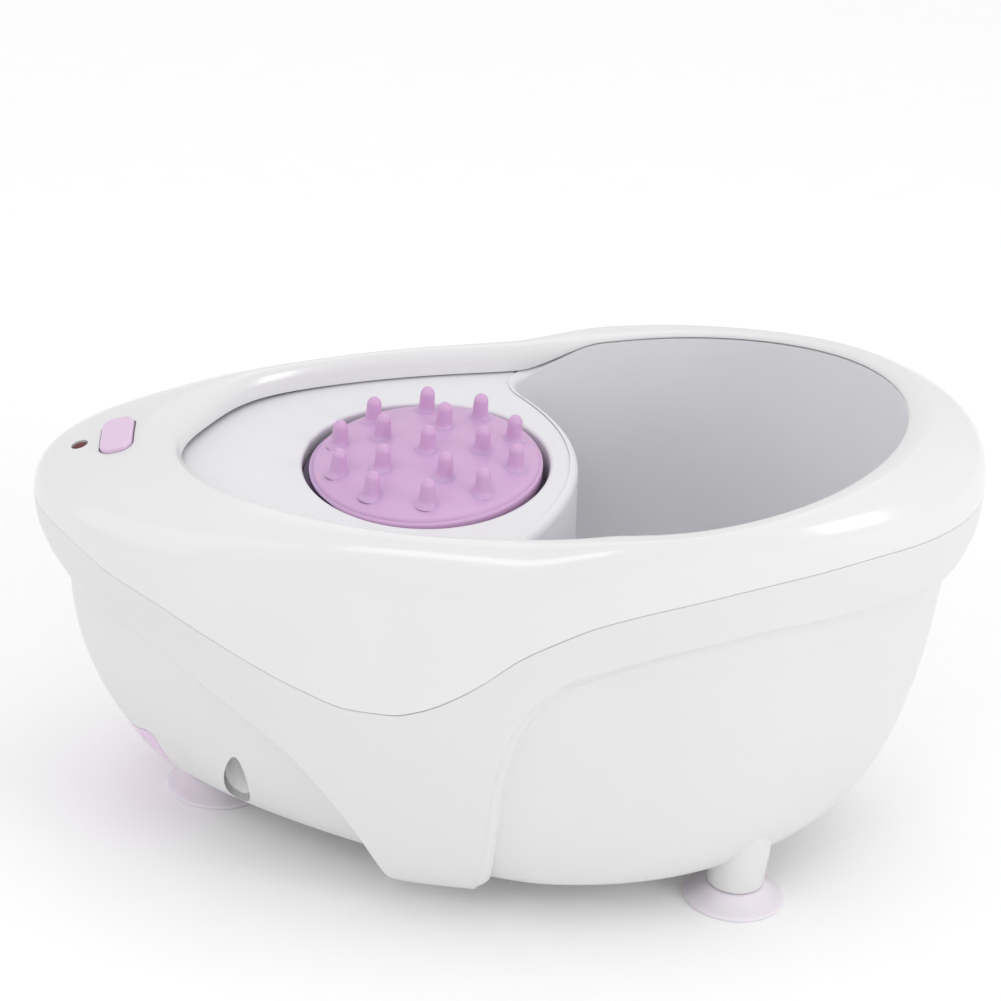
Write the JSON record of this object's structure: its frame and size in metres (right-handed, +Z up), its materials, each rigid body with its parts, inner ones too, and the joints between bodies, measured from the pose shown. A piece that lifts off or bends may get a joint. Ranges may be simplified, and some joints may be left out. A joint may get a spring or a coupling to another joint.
{
  "type": "hand spa basin",
  "caption": "Egg-shaped white soaking basin with a finger bowl at one end, a vibrating palm rest at the other, a push button and suction-cup feet.",
  "frame": {"origin": "middle of the outline at table height, under the suction cups", "axes": "+X from the wrist end to the bowl end, +Y across the basin, +Z up"},
  "size_m": [0.2683, 0.148, 0.1374],
  "materials": {
    "satin_white_plastic": "satin moulded ABS",
    "gloss_white_plastic": "polished moulded ABS",
    "bowl_plastic": "satin moulded ABS",
    "lilac_plastic": "semi-gloss moulded ABS",
    "lilac_pad": "soft moulded elastomer",
    "suction_rubber": "translucent soft PVC",
    "dark_rubber": "moulded rubber",
    "lamp_lens": "clear red lens",
    "steel": "zinc plated",
    "brass": "turned",
    "black_plastic": "moulded",
    "circuit_board_green": "solder mask",
    "battery_sleeve": "shrink sleeve",
    "wire_red": "PVC insulation",
    "wire_black": "PVC insulation"
  },
  "bodies": {
    "basin": {"lower_casing": "satin_white_plastic", "upper_cover": "gloss_white_plastic", "bowl_liner": "bowl_plastic", "pad_seal": "dark_rubber", "pad_mount_1": "dark_rubber", "pad_mount_2": "dark_rubber", "pad_mount_3": "dark_rubber", "pad_mount_4": "dark_rubber", "switch_body": "black_plastic", "indicator_led": "lamp_lens", "circuit_board": "circuit_board_green", "board_screw_1": "steel", "board_screw_2": "steel", "battery_box": "black_plastic", "battery_1": "battery_sleeve", "battery_2": "battery_sleeve", "contact_tab": "steel", "contact_spring": "steel", "casing_screw_1": "steel", "casing_screw_2": "steel", "casing_screw_3": "steel", "casing_screw_4": "steel", "suction_cup_1": "suction_rubber", "suction_cup_2": "suction_rubber", "suction_cup_3": "suction_rubber", "wire_battery_switch": "wire_red", "wire_switch_motor": "wire_red", "wire_battery_motor": "wire_black"},
    "pad": {"massage_pad": "lilac_pad", "motor_bracket": "steel", "bracket_screw_1": "steel", "bracket_screw_2": "steel", "motor_can": "steel", "motor_end_cap": "black_plastic"},
    "rotor": {"motor_shaft": "steel", "eccentric_weight": "brass"},
    "button": {"power_button": "lilac_plastic"},
    "plunger": {"switch_plunger": "steel"},
    "door": {"battery_door": "lilac_plastic", "door_contact": "steel"}
  },
  "joints": [
    {"name": "pad_travel", "type": "slide", "parent": "basin", "child": "pad", "axis": [0, 0, 1], "range_m": [-0.0025, 0], "stiffness_N_per_m": 3000, "springref_m": 0.0004, "deforming": ["pad_mount_1", "pad_mount_2", "pad_mount_3", "pad_mount_4"]},
    {"name": "rotor_spin", "type": "hinge", "parent": "pad", "child": "rotor", "pos_m": [-0.024, 0, 0.0945], "axis": [0, 1, 0], "continuous": true},
    {"name": "button_press", "type": "slide", "parent": "basin", "child": "button", "axis": [0.3134, 0, -0.9496], "range_m": [0, 0.0012], "stiffness_N_per_m": 1200, "springref_m": -0.0006},
    {"name": "plunger_travel", "type": "slide", "parent": "basin", "child": "plunger", "axis": [0.3134, 0, -0.9496], "range_m": [0, 0.0012]},
    {"name": "battery_door_off", "type": "slide", "parent": "basin", "child": "door", "axis": [-0.7242, 0, -0.6896], "range_m": [0, 0.025]}
  ],
  "couplings": [
    {"joint": "plunger_travel", "follows": "button_press", "ratio": 1}
  ]
}
